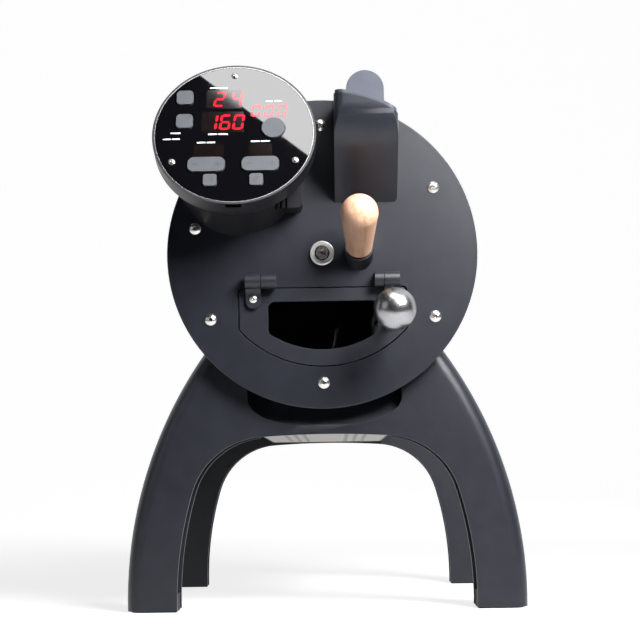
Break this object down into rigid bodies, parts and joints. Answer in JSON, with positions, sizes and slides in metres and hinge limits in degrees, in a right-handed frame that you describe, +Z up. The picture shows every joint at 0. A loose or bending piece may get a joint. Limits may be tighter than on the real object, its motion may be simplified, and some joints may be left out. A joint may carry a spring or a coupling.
{
  "type": "home coffee bean roaster",
  "caption": "Horizontal drum roaster on two arched legs, with round front plate, hinged discharge door, bean chute, trier, tilted control pod and rear chaff collector.",
  "frame": {"origin": "on the table under the middle of the overall box", "axes": "+Z up, +Y from the front plate to the back along the drum's axis, +X to the user's right"},
  "size_m": [0.325, 0.5115, 0.4348],
  "materials": {
    "coat": "fine matte powder coat, blue-grey black",
    "pod_plastic": "fine moulded grain",
    "steel": "polished",
    "sheet": "brushed",
    "drum_steel": "heat-darkened",
    "rubber": "soft matte",
    "foot_rubber": "matte",
    "beech": "oiled, fine grain",
    "black_glass": "glossy, printed black from behind",
    "window_glass": "clear",
    "ceramic": "pressed ceramic fibre",
    "copper": "lacquered wire",
    "board": "solder mask",
    "black_part": "satin"
  },
  "bodies": {
    "roaster": {"front_plate": "coat", "case_screws": "steel", "body_shell": "coat", "front_arch": "coat", "rear_arch": "coat", "feet": "foot_rubber", "box_sides": "black_part", "bottom_cover": "sheet", "power_board": "board", "front_bush": "steel", "insulation_tube": "ceramic", "induction_coil": "copper", "bulkhead": "sheet", "rear_bearing": "sheet", "drive_belt": "foot_rubber", "drive_motor": "sheet", "fan_housing": "black_part", "fan_motor": "sheet", "exhaust_collar": "steel", "rear_cover": "coat", "cooling_fan_frame": "black_part", "power_inlet": "black_part", "bean_chute": "coat", "pod_neck": "pod_plastic", "pod_housing": "pod_plastic", "pod_glass": "black_glass", "pod_screws": "steel", "display_board": "board", "hinge_lugs": "coat", "trier_collar": "pod_plastic"},
    "drum": {"drum": "drum_steel", "drum_vanes": "drum_steel", "drum_shaft": "drum_steel", "shaft_screw": "steel", "drum_pulley": "black_part"},
    "motor_shaft": {"motor_pulley": "sheet"},
    "exhaust_fan": {"fan_impeller": "black_part"},
    "cooling_fan": {"cooling_fan_rotor": "black_part"},
    "mains_rocker": {"power_switch": "black_part"},
    "chaff_collector": {"chaff_can": "sheet", "chaff_screen": "sheet", "chaff_cap": "coat"},
    "plug": {"chute_plug": "rubber"},
    "upper_key": {"key_upper": "rubber"},
    "lower_key": {"key_lower": "rubber"},
    "round_key": {"key_round": "rubber"},
    "left_rocker": {"rocker_left": "rubber"},
    "right_rocker": {"rocker_right": "rubber"},
    "first_key": {"key_one": "rubber"},
    "second_key": {"key_two": "rubber"},
    "door": {"door_panel": "coat", "door_glass": "window_glass", "glass_retainer": "sheet", "hinge_straps": "coat", "strap_screws": "steel", "door_ball": "steel"},
    "sampler_sleeve": {"trier_sleeve": "steel"},
    "sampler": {"trier_rod": "steel", "trier_handle": "beech"}
  },
  "joints": [
    {"name": "drum_spin", "type": "hinge", "parent": "roaster", "child": "drum", "pos_m": [0, -0.18425, 0.2872], "axis": [0, 1, 0], "continuous": true},
    {"name": "motor_spin", "type": "hinge", "parent": "roaster", "child": "motor_shaft", "pos_m": [-0.05797, -0.18425, 0.23501], "axis": [0, 1, 0], "continuous": true},
    {"name": "exhaust_fan_spin", "type": "hinge", "parent": "roaster", "child": "exhaust_fan", "pos_m": [0, -0.18425, 0.3392], "axis": [0, 1, 0], "continuous": true},
    {"name": "cooling_fan_spin", "type": "hinge", "parent": "roaster", "child": "cooling_fan", "pos_m": [0.04606, -0.18425, 0.24114], "axis": [0, 1, 0], "continuous": true},
    {"name": "mains_rocker_tip", "type": "hinge", "parent": "roaster", "child": "mains_rocker", "pos_m": [0.021, 0.13775, 0.2012], "axis": [1, 0, 0], "range_deg": [-8, 8]},
    {"name": "chaff_collector_pull", "type": "slide", "parent": "roaster", "child": "chaff_collector", "axis": [0, 1, 0], "range_m": [0, 0.06]},
    {"name": "plug_lift", "type": "slide", "parent": "roaster", "child": "plug", "axis": [0, 0, 1], "range_m": [0, 0.07]},
    {"name": "upper_key_press", "type": "slide", "parent": "roaster", "child": "upper_key", "axis": [0, 0.9348, -0.3551], "range_m": [0, 0.0008], "stiffness_N_per_m": 1500},
    {"name": "lower_key_press", "type": "slide", "parent": "roaster", "child": "lower_key", "axis": [0, 0.9348, -0.3551], "range_m": [0, 0.0008], "stiffness_N_per_m": 1500},
    {"name": "round_key_press", "type": "slide", "parent": "roaster", "child": "round_key", "axis": [0, 0.9348, -0.3551], "range_m": [0, 0.0008], "stiffness_N_per_m": 1500},
    {"name": "first_key_press", "type": "slide", "parent": "roaster", "child": "first_key", "axis": [0, 0.9348, -0.3551], "range_m": [0, 0.0008], "stiffness_N_per_m": 1500},
    {"name": "second_key_press", "type": "slide", "parent": "roaster", "child": "second_key", "axis": [0, 0.9348, -0.3551], "range_m": [0, 0.0008], "stiffness_N_per_m": 1500},
    {"name": "left_rocker_tip", "type": "hinge", "parent": "roaster", "child": "left_rocker", "pos_m": [-0.0877, -0.23713, 0.34705], "axis": [0, 0.3551, 0.9348], "range_deg": [-2.5, 2.5], "stiffness_Nm_per_rad": 0.5},
    {"name": "right_rocker_tip", "type": "hinge", "parent": "roaster", "child": "right_rocker", "pos_m": [-0.046, -0.23713, 0.34705], "axis": [0, 0.3551, 0.9348], "range_deg": [-2.5, 2.5], "stiffness_Nm_per_rad": 0.5},
    {"name": "door_swing", "type": "hinge", "parent": "roaster", "child": "door", "pos_m": [0, -0.19125, 0.2646], "axis": [-1, 0, 0], "range_deg": [0, 55]},
    {"name": "sampler_turn", "type": "hinge", "parent": "roaster", "child": "sampler_sleeve", "pos_m": [0.0298, -0.18425, 0.2856], "axis": [0, -0.8829, 0.4695], "continuous": true},
    {"name": "sampler_pull", "type": "slide", "parent": "sampler_sleeve", "child": "sampler", "axis": [0, -0.8829, 0.4695], "range_m": [0, 0.055]}
  ],
  "couplings": [
    {"joint": "motor_spin", "follows": "drum_spin", "ratio": 3.2727}
  ]
}
